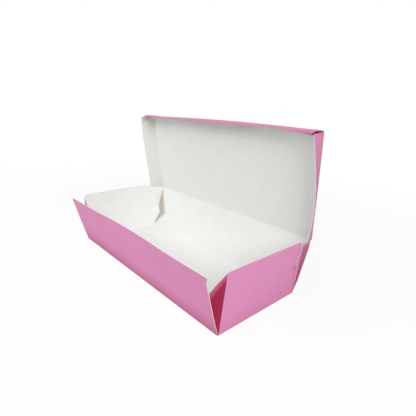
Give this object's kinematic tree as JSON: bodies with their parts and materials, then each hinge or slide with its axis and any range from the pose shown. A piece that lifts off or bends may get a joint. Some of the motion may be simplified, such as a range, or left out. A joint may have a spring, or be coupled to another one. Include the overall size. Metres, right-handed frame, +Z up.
{
  "type": "cookie box",
  "caption": "Long, low folding-carton cookie box with outward-leaning tray walls and a hinged lid with shallow sides and a front flap, shown open.",
  "frame": {"origin": "centre of the tray floor's underside", "axes": "+X along the box's length, +Z up, the front wall at -Y and the lid's hinge at +Y"},
  "size_m": [0.2182, 0.1088, 0.1279],
  "materials": {
    "printed_card": "matte coated folding boxboard, pink outside and white inside"
  },
  "bodies": {
    "tray": {"tray": "printed_card"},
    "lid": {"lid": "printed_card"}
  },
  "joints": [
    {"name": "lid_hinge", "type": "hinge", "parent": "tray", "child": "lid", "pos_m": [0, 0.05415, 0.04464], "axis": [1, 0, 0], "range_deg": [-125, 71]}
  ]
}
